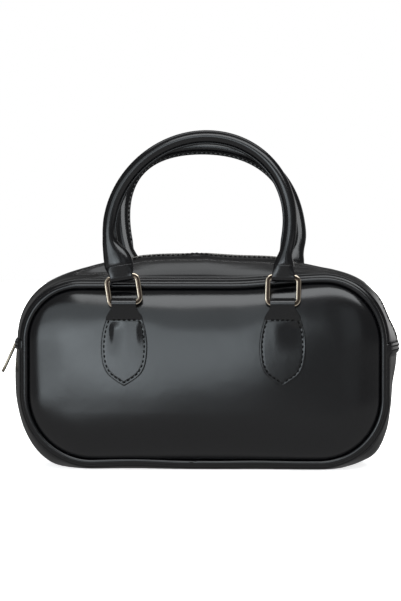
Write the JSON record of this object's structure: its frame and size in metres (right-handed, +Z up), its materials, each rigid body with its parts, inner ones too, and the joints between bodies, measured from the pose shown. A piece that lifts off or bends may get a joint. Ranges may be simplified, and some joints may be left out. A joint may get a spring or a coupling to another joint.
{
  "type": "handbag",
  "caption": "Boxy handbag in glossy black leather cloth with rounded corners, piped edges, a zip over the top, and rolled handles on pale gold rectangular rings",
  "frame": {"origin": "Middle of the flat part of the base, on the surface that the bag stands on", "axes": "+X to the right of someone who faces the front, -Y out of the front, +Z up"},
  "size_m": [0.3184, 0.1825, 0.2678],
  "materials": {
    "black_leather": "smooth, glossy coated black leather",
    "pale_gold": "polished pale gold plating",
    "zip_cloth": "matt black woven tape",
    "zip_metal": "dark metal teeth"
  },
  "bodies": {
    "bag": {"front_panel": "black_leather", "back_panel": "black_leather", "front_piping": "black_leather", "back_piping": "black_leather", "base_gusset": "black_leather", "front_zip_gusset": "black_leather", "back_zip_gusset": "black_leather", "zip_tape": "zip_cloth", "zip_teeth": "zip_metal", "zip_slider": "pale_gold", "front_tab_left": "black_leather", "front_tab_right": "black_leather", "back_tab_left": "black_leather", "back_tab_right": "black_leather"},
    "front_handle": {"front_handle": "black_leather", "front_ring_left": "pale_gold", "front_ring_right": "pale_gold"},
    "back_handle": {"back_handle": "black_leather", "back_ring_left": "pale_gold", "back_ring_right": "pale_gold"},
    "zip_pull": {"zip_pull": "pale_gold"}
  },
  "joints": [
    {"name": "front_handle_swing", "type": "hinge", "parent": "bag", "child": "front_handle", "pos_m": [0, -0.06591, 0.132], "axis": [1, 0, 0], "range_deg": [-15, 140]},
    {"name": "back_handle_swing", "type": "hinge", "parent": "bag", "child": "back_handle", "pos_m": [0, 0.06591, 0.132], "axis": [-1, 0, 0], "range_deg": [-38, 117]},
    {"name": "zip_pull_swing", "type": "hinge", "parent": "bag", "child": "zip_pull", "pos_m": [-0.14923, 0, 0.10708], "axis": [0, 1, 0], "range_deg": [-13, 110]}
  ]
}
